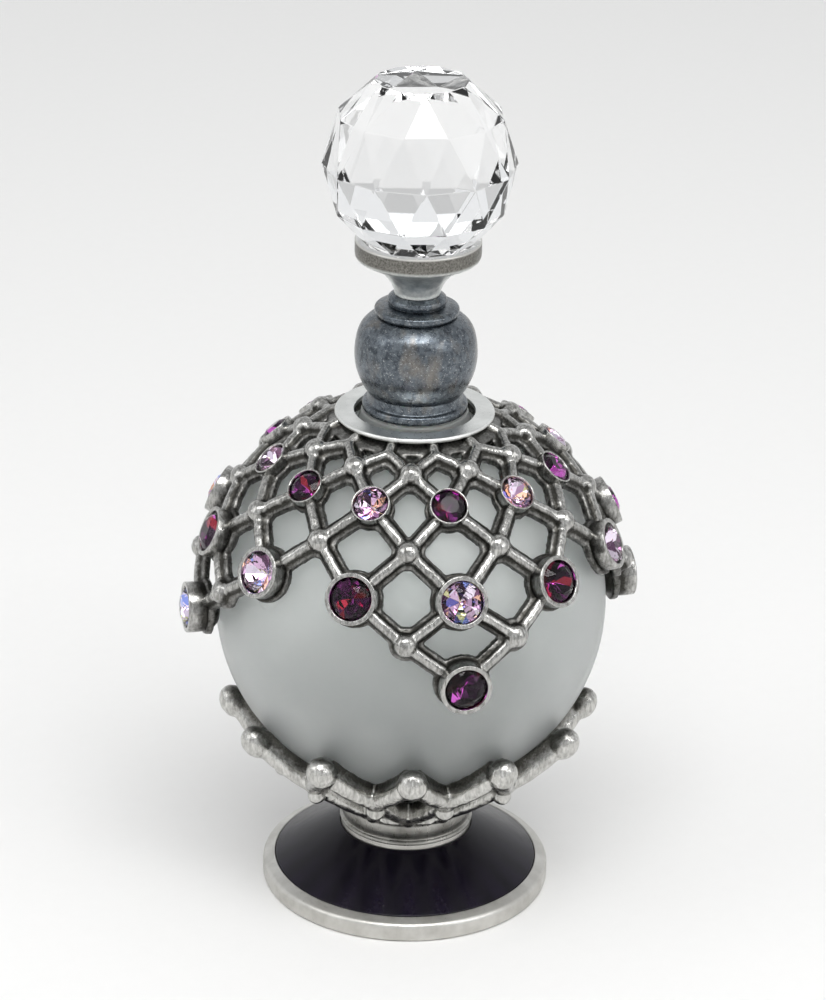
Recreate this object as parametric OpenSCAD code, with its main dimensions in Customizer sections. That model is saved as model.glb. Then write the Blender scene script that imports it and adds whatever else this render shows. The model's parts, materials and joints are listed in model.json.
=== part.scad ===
// Pewter-mounted perfume bottle: a frosted glass globe that stands in a cast
// basket on an enamelled foot, wears a jewelled net cap, and is closed by a
// lift-out stopper with a faceted crystal ball and a glass dauber rod.
// Millimetres, +Z up, origin at the centre of the foot's underside.
// A column of net joints stands on the -Y axis.

/* [Foot] */
// Radius of the foot
foot_r = 17.5; // [16:0.5:19]
// Height of the foot's plain side
foot_side_h = 2.1; // [1.6:0.1:2.4]
// Radius where the foot meets the band above it
foot_neck_r = 8; // [7.8:0.1:8.4]
// Depth of the recess in the foot's underside
foot_recess = 1.2; // [0.6:0.1:1.4]
// Thickness of the enamel on the foot
enamel_t = 0.5; // [0.4:0.1:0.7]

/* [Basket] */
// Radius of the band between foot and basket
band_r = 8.1; // [7.9:0.1:8.4]
// Height of the band
band_h = 2.7; // [2.2:0.1:3]
// Width of the basket's zigzag bars
bar_w = 2.3; // [2:0.1:2.4]
// Width of the basket's lower braces
brace_w = 1.5; // [1.2:0.1:1.8]
// Turn of the basket about the net's columns
basket_turn = 3; // [0:1:10]

/* [Glass] */
// Outer radius of the globe
glass_r = 23.3; // [22.8:0.1:23.6]
// Height of the globe's centre
glass_z = 37.3; // [37:0.1:38]
// Wall of the glass
glass_wall = 2; // [1.6:0.1:2.2]
// Outer radius of the neck at its mouth
neck_r = 6.3; // [6:0.1:6.5]
// Radius of the bore in the neck
neck_bore_r = 4.4; // [4.2:0.1:4.6]

/* [Net] */
// Columns of joints around the net
columns = 12; // [8:4:12]
// Width of the net's bars
strut_w = 1.8; // [1.4:0.1:2]
// Thickness of the net's bars, outwards from the globe
strut_t = 2; // [1.6:0.1:2.2]
// Radius of the beads on the net's joints
bead_r = 1.3; // [1.1:0.05:1.5]
// Radius of the upper row's stones, size SS16
small_stone_r = 1.95; // [1.8:0.05:2]
// Radius of the larger stones, size SS20
large_stone_r = 2.38; // [2.2:0.02:2.4]

/* [Stopper] */
// Radius of the base ring on the neck
base_ring_r = 6.2; // [6:0.1:6.4]
// Largest radius of the bulb
bulb_r = 7.1; // [6.8:0.1:7.4]
// Radius of the dish under the ball
dish_r = 7.3; // [7:0.1:7.6]
// Radius of the crystal ball over its corners
ball_r = 11.2; // [10.8:0.1:11.6]
// Radius of the glass dauber rod
rod_r = 1.4; // [1.1:0.1:1.6]
// Height of the rod's tip above the table
rod_tip_z = 27; // [25:1:32]

/* [Hidden] */
$fn = 64;
running_fit = 0.05;       // radial clearance of the turning fits
cement_gap = 0.1;         // film between the glass and the castings
band_z = 7.75;            // underside of the band
band_top = band_z + band_h;
mouth_z = glass_z + 24.45; // top of the glass neck
step = 360 / columns;
points = 4;               // points of the net's lower edge
point_every = columns / points;

// Net joints by row, from the neck down: tilt from the +Z axis, and whether the
// row stands between the columns (0.5) or on them (0).
row_tilt = [24.5, 31, 41.5, 53.2, 66.2, 76.8, 87.6];
row_shift = [0, 0.5, 0, 0.5, 0, 0.5, 0];
last_row = len(row_tilt) - 1;
small_row = 2;
large_row = 4;

// The basket is a shallower bowl than the globe, with its own centre. Its joints
// by row, from the peaks down: tilt from the +Z axis at that centre, and shift.
basket_z = glass_z - 3.8;
basket_in = glass_r - 0.7;
basket_t = 1.9;
basket_tilt = [116.4, 134.4, 159.1];
basket_shift = [0.5, 0, 0.5];
basket_columns = 12;
basket_step = 360 / basket_columns;

function two_digits(i) = str(i < 10 ? "0" : "", i);

// ---- places -------------------------------------------------------------

// The net stands off the globe a little more towards its points.
function net_reach(row) = glass_r + 1.5 + pow(row / last_row, 2);
// Height just under the globe's surface at a radius
function globe_under(r) = glass_z - sqrt(pow(glass_r + cement_gap, 2) - r * r);
// Below the row of large stones the net narrows to its points.
function is_point(column) = column % point_every == 0;
function beside_point(column) = is_point(column) || is_point(column + 1);

function stone_r(row) = row == small_row ? small_stone_r : large_stone_r;
function bezel_r(row) = row == small_row ? 2.25 : 3;
function bezel_rise(row) = row == small_row ? 1.2 : 1.55;

module facing_out(row, column, lift = 0) {
    translate([0, 0, glass_z])
        rotate([row_tilt[row], 0, (column + row_shift[row]) * step])
            translate([0, 0, net_reach(row) + lift]) children();
}

// ---- windows in a round shell -------------------------------------------
// The castings' open work is a shell with a window cut for each mesh. A window
// is laid out on the plane that touches a ball of 1 at the window's own centre.

// A joint's place on the plane at a centre's tilt, with turn counted from there
function on_plane(tilt, turn, centre) =
    let (away = sin(tilt) * cos(turn) * sin(centre) + cos(tilt) * cos(centre))
    [sin(tilt) * sin(turn), cos(tilt) * sin(centre) - sin(tilt) * cos(turn) * cos(centre)] / away;
function unit(v) = v / norm(v);
function side_normal(a, b) = let (along = unit(b - a)) [-along[1], along[0]];
// A corner moved in from both its sides by w
function corner_in(before, corner, after, w) =
    let (n = side_normal(before, corner), m = side_normal(corner, after))
    corner + w * (n + m) / (1 + n * m);
// A counterclockwise outline drawn in by w
function drawn_in(outline, w) =
    let (n = len(outline))
    [for (i = [0 : n - 1]) corner_in(outline[(i + n - 1) % n], outline[i], outline[(i + 1) % n], w)];
// The outline of all that lies beyond a bent edge, w away from it: the edge
// runs from second over apex to first, and on past them to hidden corners
function beyond_edge(apex, first, second, far_first, far_second, w) = [
    corner_in(second, apex, first, w),
    first + w * (side_normal(apex, first) + 1.5 * unit(first - apex)),
    far_first, far_second,
    second + w * (side_normal(second, apex) + 1.5 * unit(second - apex))
];

module through_shell(r, tilt, turn, outline)
    rotate([tilt, 0, turn]) translate([0, 0, r - 6])
        linear_extrude(height = 12) polygon(outline * r);

// Half the section of a shell from one tilt to another
module shell_section(r, t, top_tilt, low_tilt) intersection() {
    difference() {
        circle(r + t);
        circle(r);
    }
    polygon(concat([[0, 0]], [for (part = [0 : 0.25 : 1])
        let (tilt = top_tilt + (low_tilt - top_tilt) * part) 2 * r * [sin(tilt), cos(tilt)]]));
}

// ---- foot and basket ----------------------------------------------------

module foot() color("#a3a19b") {
    difference() {
        rotate_extrude() polygon([
            [0, 0], [foot_r - 0.3, 0], [foot_r, 0.3], [foot_r, foot_side_h - 0.2],
            [foot_r - 0.3, foot_side_h], [foot_r - 1.45, foot_side_h + 0.6],
            [foot_r - 1.6, foot_side_h + 0.1], [foot_neck_r, band_z - 1],
            [foot_neck_r, band_z], [0, band_z]
        ]);
        translate([0, 0, -1]) cylinder(h = 1 + foot_recess, r = foot_r - 2.5);
    }
}

module foot_enamel() color("#1b1024") {
    rotate_extrude() polygon([
        [foot_r - 1.6, foot_side_h + 0.1], [foot_r - 1.5, foot_side_h + 0.1 + enamel_t],
        [foot_neck_r + 0.05, band_z - 1 + enamel_t], [foot_neck_r, band_z - 1]
    ]);
}

module foot_band() color("#a9a7a1") {
    rotate_extrude() polygon([
        [0, band_z], [band_r, band_z], [band_r, band_z + 0.35], [band_r - 0.3, band_z + 0.6],
        [band_r, band_top - 0.2], [band_r - 0.2, band_top], [0, band_top]
    ]);
}

// One column's share of the open work: the notch over a valley, the window
// under a peak, and the small window under a valley
module basket_cuts(column) {
    valley = basket_tilt[1];
    half = basket_step / 2;
    turn = column * basket_step + basket_turn;
    through_shell(basket_in, valley, turn, beyond_edge(
        on_plane(valley, 0, valley),
        on_plane(basket_tilt[0], half, valley), on_plane(basket_tilt[0], -half, valley),
        on_plane(80, half * 1.05, valley), on_plane(80, -half * 1.05, valley),
        bar_w / 2 / basket_in));
    through_shell(basket_in, valley, turn + half, drawn_in([
        on_plane(valley, half, valley), on_plane(basket_tilt[0], 0, valley),
        on_plane(valley, -half, valley), on_plane(basket_tilt[2], 0, valley)
    ], (bar_w + brace_w) / 4 / basket_in));
    through_shell(basket_in, valley, turn, drawn_in([
        on_plane(valley, 0, valley), on_plane(basket_tilt[2], -half, valley),
        on_plane(basket_tilt[2], half, valley)
    ], brace_w / 2 / basket_in));
}

module on_basket_joint(row, column, lift)
    translate([0, 0, basket_z])
        rotate([basket_tilt[row], 0, (column + basket_shift[row]) * basket_step + basket_turn])
            translate([0, 0, basket_in + lift]) children();

module basket() color("#98968f") {
    floor_r = band_r + 0.2;
    cup_r = [5, 6.8, 7.6];
    difference() {
        translate([0, 0, basket_z]) rotate_extrude()
            shell_section(basket_in, basket_t, 112, 163);
        translate([0, 0, basket_z]) for (c = [0 : basket_columns - 1]) basket_cuts(c);
        translate([0, 0, band_top - 5]) cylinder(h = 5, r = 30);
    }
    // Floor ring, and the cup that the globe is cemented into
    rotate_extrude() polygon([
        [cup_r[0], band_top], [floor_r, band_top], [floor_r, band_top + 1.1],
        [cup_r[2], band_top + 1.5], [cup_r[1], globe_under(cup_r[1])],
        [cup_r[0], globe_under(cup_r[0])]
    ]);
    for (c = [0 : basket_columns - 1]) {
        on_basket_joint(0, c, 1.3) sphere(1.5);
        on_basket_joint(1, c, 1.2) sphere(1.3);
        on_basket_joint(2, c, 1.2) sphere(0.8);
    }
}

// ---- glass --------------------------------------------------------------

neck_root_r = neck_r + 0.6;

// The globe, open at the top where the neck is fused in
module glass_bottle() color("#c9d2cd", 0.6) {
    rotate_extrude() translate([0, glass_z]) difference() {
        circle(glass_r);
        circle(glass_r - glass_wall);
        square([neck_root_r, glass_r + 1]);
        translate([-100, -100]) square([100, 200]);
    }
}

module glass_neck() color("#c9d2cd", 0.6) {
    rim = mouth_z - glass_z;
    root = sqrt(pow(glass_r, 2) - pow(neck_root_r, 2));
    rotate_extrude() translate([0, glass_z]) difference() {
        polygon([
            [neck_bore_r, 0], [neck_root_r, 0], [neck_root_r, root], [neck_r + 0.4, 22.6],
            [neck_r, 24], [neck_r, rim - 0.3], [neck_r - 0.3, rim], [neck_bore_r, rim]
        ]);
        circle(glass_r - glass_wall);
    }
}

// ---- net cap ------------------------------------------------------------

net_gap = 0.3;
net_in = glass_r + net_gap;
collar_z = mouth_z - 0.65;
shell_top_tilt = 19;
shell_low_tilt = 98;
half_strut = strut_w / 2 / net_in;

// Window between one joint, the two below it to its sides, and the next below
module window(row, column) {
    centre = row_tilt[row + 1];
    through_shell(net_in, centre, (column + row_shift[row]) * step, drawn_in([
        on_plane(centre, step / 2, centre), on_plane(row_tilt[row], 0, centre),
        on_plane(centre, -step / 2, centre), on_plane(row_tilt[row + 2], 0, centre)
    ], half_strut));
}

// Everything below the net's edge between two columns: the edge runs up from
// the stone on the left to a bead and down to the stone on the right
function edge_stone_row(column) = is_point(column) ? last_row : large_row;
module below_edge(column) {
    bead_row = beside_point(column) ? large_row + 1 : large_row - 1;
    centre = 80;
    aside = step * 0.54;
    through_shell(net_in, centre, (column + 0.5) * step, beyond_edge(
        on_plane(row_tilt[bead_row], 0, centre),
        on_plane(row_tilt[edge_stone_row(column)], -step / 2, centre),
        on_plane(row_tilt[edge_stone_row(column + 1)], step / 2, centre),
        on_plane(125, -aside, centre), on_plane(125, aside, centre), half_strut));
}

module net_shell() rotate_extrude() intersection() {
    translate([0, glass_z]) shell_section(net_in, strut_t, shell_top_tilt, shell_low_tilt);
    square([40, collar_z]);
}

module net_beads() {
    for (c = [0 : columns - 1]) {
        for (row = [1, 3]) facing_out(row, c, 0.5) sphere(bead_r);
        if (beside_point(c)) facing_out(5, c, 0.6) sphere(bead_r);
    }
}

module bezel(row) translate([0, 0, -1]) cylinder(h = 1 + bezel_rise(row), r = bezel_r(row));

// Seat of one stone, with room below it for the pavilion
module stone_pocket(row) translate([0, 0, bezel_rise(row) - 0.3 - 0.75 * stone_r(row)])
    cylinder(h = 3, r = stone_r(row) + 0.02);

module on_stone_seats() {
    for (c = [0 : columns - 1]) {
        facing_out(small_row, c) children(0);
        facing_out(large_row, c) children(1);
        if (is_point(c)) facing_out(last_row, c) children(1);
    }
}

module net_cap() color("#8f8d88") {
    difference() {
        union() {
            difference() {
                net_shell();
                translate([0, 0, glass_z]) for (c = [0 : columns - 1]) {
                    for (row = [0 : 2]) window(row, c);
                    if (beside_point(c)) window(3, c);
                    if (is_point(c)) window(4, c);
                    below_edge(c);
                }
            }
            net_beads();
            on_stone_seats() { bezel(small_row); bezel(large_row); }
        }
        on_stone_seats() { stone_pocket(small_row); stone_pocket(large_row); }
    }
}

module neck_collar() color("#a6a49f") {
    translate([0, 0, mouth_z - 0.65]) rotate_extrude() polygon([
        [7.1, 0], [9.2, 0], [9.4, 0.15], [9.4, 0.4], [9.2, 0.55], [7.1, 0.55]
    ]);
}

// A chaton: octagonal table, 16-sided girdle and pavilion
module stone(row, column, tint) color(tint) {
    r = stone_r(row);
    facing_out(row, column, bezel_rise(row) - 0.25) hull() {
        translate([0, 0, 0.34 * r - 0.02]) cylinder(h = 0.02, r = 0.58 * r, $fn = 8);
        translate([0, 0, -0.08]) cylinder(h = 0.08, r = 0.99 * r, $fn = 16);
        translate([0, 0, -0.7 * r]) cylinder(h = 0.05, r = 0.08 * r, $fn = 8);
    }
}

dark_tint = "#4a1148";
light_tint = "#b79ac6";
function tint(is_dark) = is_dark ? dark_tint : light_tint;

// ---- stopper ------------------------------------------------------------

plug_r = neck_bore_r - running_fit;
plug_bottom = mouth_z - 7.5;
flange_r = 5.3;
flange_top = mouth_z + 0.85;
stem_r = 3;
stem_top = flange_top + 4.4;
base_z = mouth_z + 0.1;         // underside of the base ring
waist_z = mouth_z + 2.05;
bulb_mid = mouth_z + 7.3;
bulb_top = mouth_z + 12.1;
neck_low = mouth_z + 14.3;      // narrowest place, under the dish
dish_top = mouth_z + 21;

module neck_plug() color("#e8e6dd") {
    difference() {
        union() {
            rotate_extrude() polygon([
                [0, plug_bottom], [plug_r - 0.7, plug_bottom], [plug_r - 0.35, plug_bottom + 0.8],
                [plug_r - 0.35, mouth_z + 0.05], [flange_r, mouth_z + 0.05],
                [flange_r, flange_top], [stem_r, flange_top], [stem_r, stem_top - 0.4],
                [stem_r - 0.4, stem_top], [0, stem_top]
            ]);
            // Sealing ribs
            for (i = [0 : 2]) translate([0, 0, plug_bottom + 1.8 + 1.9 * i])
                cylinder(h = 0.8, r = plug_r);
        }
        translate([0, 0, plug_bottom - 1]) cylinder(h = 9, r = rod_r);
    }
}

module dauber_rod() color("#dfe8e6", 0.7) {
    translate([0, 0, rod_tip_z + rod_r + 0.4]) {
        cylinder(h = plug_bottom + 8 - rod_tip_z - rod_r - 0.4, r = rod_r);
        sphere(rod_r + 0.4);
    }
}

module stopper_bulb() color("#5c6670") {
    arc_r = bulb_r - 0.25;
    difference() {
        rotate_extrude() {
            // Base ring, waist and foot of the bulb
            translate([0, base_z]) square([base_ring_r, 0.9]);
            polygon([
                [0, base_z + 0.9], [base_ring_r - 0.15, base_z + 0.9], [5.6, waist_z - 0.3],
                [5.55, waist_z + 0.2], [5.8, waist_z + 0.9], [0, waist_z + 0.9]
            ]);
            intersection() {
                translate([0.25, bulb_mid]) circle(arc_r);
                translate([0, waist_z + 0.4]) square([20, bulb_top - waist_z - 0.4]);
            }
            translate([0, waist_z + 0.4]) square([2, bulb_top - waist_z - 0.4]);
            // Two stepped rings on the shoulder
            translate([0, bulb_top - 0.3]) square([4.6, 1]);
            translate([4.6, bulb_top + 0.2]) circle(0.45);
            translate([0, bulb_top + 0.7]) square([3.1, neck_low - bulb_top - 0.7]);
            translate([3.1, bulb_top + 1.55]) circle(0.4);
        }
        translate([0, 0, base_z - 1]) cylinder(h = 1 + flange_top + 0.05 - base_z, r = flange_r + 0.15);
        translate([0, 0, base_z]) cylinder(h = stem_top + 0.3 - base_z, r = stem_r + running_fit);
        translate([0, 0, neck_low - 5]) cylinder(h = 6, r = 1);
    }
}

// Pin that joins the bulb and the dish casting
module finial_pin() color("#b8b8b8") {
    translate([0, 0, neck_low - 4.8]) cylinder(h = 8.6, r = 1);
}

module finial_dish() color("#77756d") {
    difference() {
        rotate_extrude() polygon([
            [0, neck_low], [2.7, neck_low], [2.85, neck_low + 0.7], [3.4, neck_low + 1.7],
            [4.3, neck_low + 2.75], [5.7, neck_low + 3.7], [dish_r - 0.15, neck_low + 4.75],
            [dish_r, neck_low + 4.95], [dish_r, dish_top - 0.2], [dish_r - 0.2, dish_top],
            [0, dish_top]
        ]);
        translate([0, 0, neck_low - 1]) cylinder(h = 5, r = 1);
    }
}

// Faceted ball: rings of twelve corners, each turned half a step from the last,
// from the flat that is cemented on the dish up to the table on top.
ball_sides = 12;
ball_turn = -10;
ball_latitudes = [-53.5, -29, 0, 31.5, 61.5];
ball_z = dish_top - ball_r * sin(ball_latitudes[0]);
ball_rings = len(ball_latitudes);

function ball_corner(ring, i) = ring * ball_sides + (i + ball_sides) % ball_sides;
function ball_point(ring, i) =
    let (lat = ball_latitudes[ring], turn = ball_turn + (i + (ring % 2) / 2) * 360 / ball_sides)
    [ball_r * cos(lat) * cos(turn), ball_r * cos(lat) * sin(turn), ball_z + ball_r * sin(lat)];
// The triangle that stands on one ring, and the one that hangs from the next
function ball_facets(ring, i) =
    let (s = ring % 2)
    [[ball_corner(ring, i), ball_corner(ring + 1, i + s), ball_corner(ring, i + 1)],
     [ball_corner(ring, i), ball_corner(ring + 1, i + s - 1), ball_corner(ring + 1, i + s)]];

module crystal_ball() color("#eef3f5", 0.8) {
    around = [0 : ball_sides - 1];
    polyhedron(
        points = [for (ring = [0 : ball_rings - 1], i = around) ball_point(ring, i)],
        faces = concat(
            [[for (i = around) ball_corner(0, i)]],
            [[for (i = [ball_sides - 1 : -1 : 0]) ball_corner(ball_rings - 1, i)]],
            [for (ring = [0 : ball_rings - 2], i = around) each ball_facets(ring, i)]
        )
    );
}

// ---- nodes --------------------------------------------------------------

foot();
foot_enamel();
foot_band();
basket();
glass_bottle();
glass_neck();
net_cap();
neck_collar();
neck_plug();
dauber_rod();
stopper_bulb();
finial_pin();
finial_dish();
crystal_ball();
// Stones are numbered by column; their tints alternate by column and by row
for (c = [0 : columns - 1]) {
    stone(small_row, c, tint(c % 2 == 0));
    stone(large_row, c, tint(c % 2 == 1));
}
for (p = [0 : points - 1])
    stone(last_row, p * point_every, tint(p % 2 == 0));
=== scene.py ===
"""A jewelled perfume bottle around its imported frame. Lengths are in millimetres until a mesh is made."""

import json
import math

import bmesh
import bpy
import numpy as np
from mathutils import Matrix, Vector, kdtree, noise


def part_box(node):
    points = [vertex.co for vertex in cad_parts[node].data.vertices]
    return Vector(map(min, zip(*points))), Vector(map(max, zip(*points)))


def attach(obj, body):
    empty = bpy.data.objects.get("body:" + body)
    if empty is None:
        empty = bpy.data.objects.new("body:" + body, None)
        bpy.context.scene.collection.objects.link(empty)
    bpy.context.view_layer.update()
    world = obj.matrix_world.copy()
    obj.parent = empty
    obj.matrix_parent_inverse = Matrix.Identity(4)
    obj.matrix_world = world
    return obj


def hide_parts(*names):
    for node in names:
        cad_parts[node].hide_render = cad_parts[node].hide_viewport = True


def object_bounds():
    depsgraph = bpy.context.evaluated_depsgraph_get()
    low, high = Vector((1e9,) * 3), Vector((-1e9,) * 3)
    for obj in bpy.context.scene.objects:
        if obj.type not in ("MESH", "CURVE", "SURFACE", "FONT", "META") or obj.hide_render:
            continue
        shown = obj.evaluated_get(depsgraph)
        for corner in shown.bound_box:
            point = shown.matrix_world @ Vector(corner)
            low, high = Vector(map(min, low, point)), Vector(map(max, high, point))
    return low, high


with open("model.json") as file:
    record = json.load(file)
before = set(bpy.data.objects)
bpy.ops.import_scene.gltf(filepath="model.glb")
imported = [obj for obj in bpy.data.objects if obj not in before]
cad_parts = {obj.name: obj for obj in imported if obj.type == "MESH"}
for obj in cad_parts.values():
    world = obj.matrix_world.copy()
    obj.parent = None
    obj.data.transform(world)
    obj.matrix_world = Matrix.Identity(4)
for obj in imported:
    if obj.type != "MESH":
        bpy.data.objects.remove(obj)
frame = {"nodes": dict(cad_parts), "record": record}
CAD_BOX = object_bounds()
MM = 0.001  # metres
TURN = 2 * math.pi


# ---- places read from the frame ----


def box_mm(node):
    low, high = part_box(node)
    return Vector(low) / MM, Vector(high) / MM


GLASS_LOW, GLASS_HIGH = box_mm("glass_bottle")
GLOBE_R = GLASS_HIGH.x
GLOBE_Z = GLASS_LOW.z + GLOBE_R
GLOBE_CENTRE = Vector((0, 0, GLOBE_Z))
MOUTH_Z = box_mm("glass_neck")[1].z
FOOT_R = box_mm("foot")[1].x
BAND_LOW, BAND_HIGH = box_mm("foot_band")
BAND_R = BAND_HIGH.x
BAND_Z = BAND_LOW.z
BAND_TOP = BAND_HIGH.z
COLLAR_LOW, COLLAR_HIGH = box_mm("neck_collar")
BULB_LOW, BULB_HIGH = box_mm("stopper_bulb")
BASE_Z = BULB_LOW.z
BULB_R = BULB_HIGH.x
DISH_LOW, DISH_HIGH = box_mm("finial_dish")
DISH_R = DISH_HIGH.x
NECK_LOW = DISH_LOW.z
DISH_TOP = DISH_HIGH.z
PLUG_BOTTOM = box_mm("neck_plug")[0].z
PLUG_TOP = box_mm("neck_plug")[1].z
ROD_TIP = box_mm("dauber_rod")[0].z
ROD_TOP = box_mm("dauber_rod")[1].z

GLASS_WALL = 2.0
NECK_R = 6.3
NECK_BORE = 4.4
FOOT_NECK_R = 8.0
FLANGE_R = 5.3
FLANGE_TOP = MOUTH_Z + 0.85
STEM_R = 3.0
ROD_R = 1.4
PIN_R = 1.0

# The net's joints by row from the neck down: tilt from +Z, and the half step
# that staggers every other row.
COLUMNS = 12
STEP = TURN / COLUMNS
ROW_TILT = [math.radians(t) for t in (24.5, 31, 41.5, 53.2, 66.2, 76.8, 87.6)]
ROW_SHIFT = [0, 0.5, 0, 0.5, 0, 0.5, 0]
POINT_EVERY = 3
SMALL_ROW, LARGE_ROW, POINT_ROW = 2, 4, 6

# The basket's joints by row from the peaks down, seen from the globe's centre
BASKET_TILT = [math.radians(t) for t in (123.9, 140.2, 161.5)]
BASKET_REACH = [GLOBE_R + 1.8, GLOBE_R + 1.7, GLOBE_R + 3.6]
BASKET_SHIFT = [0.5, 0, 0.5]
BASKET_TURN = math.radians(3)


def heading(tilt, turn):
    """Unit vector at a tilt from +Z, turned from -Y towards +X."""
    return Vector((math.sin(tilt) * math.sin(turn), -math.sin(tilt) * math.cos(turn), math.cos(tilt)))


def net_heading(row, column):
    return heading(ROW_TILT[row], (column + ROW_SHIFT[row]) * STEP)


def net_reach(row):
    """Distance of a row's stones and cups from the globe's centre."""
    return GLOBE_R + 1.5 + (row / POINT_ROW) ** 2


def basket_heading(row, column):
    return heading(BASKET_TILT[row], (column + BASKET_SHIFT[row]) * STEP + BASKET_TURN)


# ---- meshes ----


def make_object(name, vertices, faces):
    """A mesh object from vertices in millimetres."""
    mesh = bpy.data.meshes.new(name)
    mesh.from_pydata([tuple(np.asarray(v, float) * MM) for v in vertices], [], faces)
    mesh.validate()
    mesh.shade_smooth()
    made = bpy.data.objects.new(name, mesh)
    bpy.context.scene.collection.objects.link(made)
    return made


def face_outward(made):
    shape = bmesh.new()
    shape.from_mesh(made.data)
    bmesh.ops.remove_doubles(shape, verts=shape.verts, dist=1e-7)
    bmesh.ops.recalc_face_normals(shape, faces=shape.faces)
    shape.to_mesh(made.data)
    shape.free()


def apply_modifiers(made):
    """Puts the evaluated mesh in place of the modifiers."""
    graph = bpy.context.evaluated_depsgraph_get()
    mesh = bpy.data.meshes.new_from_object(made.evaluated_get(graph))
    made.modifiers.clear()
    made.data = mesh


def rounded(outline, closed, steps=5):
    """The outline of (radius, height, rounding) corners with each corner bent to a curve."""
    count = len(outline)
    points = []
    for i, (r, z, rounding) in enumerate(outline):
        corner = np.array([r, z], float)
        is_end = not closed and i in (0, count - 1)
        if rounding == 0 or is_end:
            points.append(corner)
            continue
        before = np.array(outline[i - 1][:2], float)
        after = np.array(outline[(i + 1) % count][:2], float)
        reach_in = min(rounding, 0.5 * np.linalg.norm(before - corner))
        reach_out = min(rounding, 0.5 * np.linalg.norm(after - corner))
        start = corner + (before - corner) / np.linalg.norm(before - corner) * reach_in
        end = corner + (after - corner) / np.linalg.norm(after - corner) * reach_out
        for step in range(steps + 1):
            t = step / steps
            points.append((1 - t) ** 2 * start + 2 * t * (1 - t) * corner + t**2 * end)
    return points


def turned_mesh(outline, sides=144, steps=5):
    """Vertices and faces of a turned solid. The outline ends on the axis, or is a closed ring."""
    closed = not (outline[0][0] == 0 and outline[-1][0] == 0)
    points = rounded(outline, closed, steps)
    vertices, rings = [], []
    for r, z in points:
        if r < 1e-6:
            rings.append([len(vertices)] * sides)
            vertices.append((0, 0, z))
            continue
        rings.append(list(range(len(vertices), len(vertices) + sides)))
        for i in range(sides):
            angle = TURN * i / sides
            vertices.append((r * math.cos(angle), r * math.sin(angle), z))
    faces = []
    last = len(rings) if closed else len(rings) - 1
    for k in range(last):
        low, high = rings[k], rings[(k + 1) % len(rings)]
        for i in range(sides):
            j = (i + 1) % sides
            corners = [low[i], low[j], high[j], high[i]]
            face = [c for n, c in enumerate(corners) if c not in corners[:n]]
            if len(face) > 2:
                faces.append(face)
    return vertices, faces


def turned(name, outline, sides=144, steps=5):
    made = make_object(name, *turned_mesh(outline, sides, steps))
    face_outward(made)
    weight_normals(made)
    return made


def weight_normals(made):
    """Keeps flat parts flat in smooth shading."""
    made.modifiers.new("weighted", "WEIGHTED_NORMAL").weight = 100


class Parts:
    """Closed shells gathered into one mesh."""

    def __init__(self):
        self.vertices = []
        self.faces = []

    def add(self, vertices, faces):
        offset = len(self.vertices)
        self.vertices.extend(tuple(v) for v in vertices)
        self.faces.extend([c + offset for c in face] for face in faces)

    def ball(self, centre, radii, axes=None, rings=10, sides=16):
        """An ellipsoid with its radii along the given axes."""
        axes = axes or Matrix.Identity(3)
        points = [Vector((0, 0, 1))]
        for k in range(1, rings):
            lat = math.pi * k / rings
            reach = math.sin(lat)
            for i in range(sides):
                angle = TURN * i / sides
                points.append(Vector((reach * math.cos(angle), reach * math.sin(angle), math.cos(lat))))
        points.append(Vector((0, 0, -1)))
        placed = [centre + axes @ Vector((p.x * radii[0], p.y * radii[1], p.z * radii[2])) for p in points]
        faces = [[0, 1 + i, 1 + (i + 1) % sides] for i in range(sides)]
        for k in range(rings - 2):
            a = 1 + k * sides
            for i in range(sides):
                j = (i + 1) % sides
                faces.append([a + i, a + sides + i, a + sides + j, a + j])
        end = len(points) - 1
        a = end - sides
        faces += [[end, a + (i + 1) % sides, a + i] for i in range(sides)]
        self.add(placed, faces)

    def sweep(self, path, outwards, sections):
        """Closed sections of (across, outward) points, one for each place on a path, with flat ends."""
        count = len(sections[0])
        points = []
        for i, (p, out) in enumerate(zip(path, outwards)):
            along = (path[min(i + 1, len(path) - 1)] - path[max(i - 1, 0)]).normalized()
            across = along.cross(out).normalized()
            points += [p + across * u + out * v for u, v in sections[i]]
        faces = []
        for k in range(len(path) - 1):
            for i in range(count):
                j = (i + 1) % count
                a, b = k * count, (k + 1) * count
                faces.append([a + i, a + j, b + j, b + i])
        faces.append(list(range(count))[::-1])
        faces.append(list(range((len(path) - 1) * count, len(path) * count)))
        self.add(points, faces)

    def turned_on(self, centre, axes, outline, sides=40, steps=4):
        """A turned solid whose axis stands at a centre along the third of the axes."""
        vertices, faces = turned_mesh(outline, sides, steps)
        self.add([centre + axes @ Vector(v) for v in vertices], faces)

    def object(self, name):
        made = make_object(name, self.vertices, self.faces)
        face_outward(made)
        return made


def axes_along(out):
    """Columns: sideways, upwards along the surface, outwards."""
    side = Vector((0, 0, 1)).cross(out).normalized()
    return Matrix((side, out.cross(side), out)).transposed()


def bar_section(half_width, low, top, ridge_r, edge=0.18, steps=9):
    """A flat web with a half-round ridge on it. Heights are from the ridge's centre."""
    points = [(-half_width, low), (half_width, low), (half_width, top - edge), (half_width - edge, top)]
    start = math.asin(max(-1, min(1, top / ridge_r)))
    for i in range(steps + 1):
        angle = start + (math.pi - 2 * start) * i / steps
        points.append((ridge_r * math.cos(angle), ridge_r * math.sin(angle)))
    points += [(-half_width + edge, top), (-half_width, top - edge)]
    return points


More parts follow.
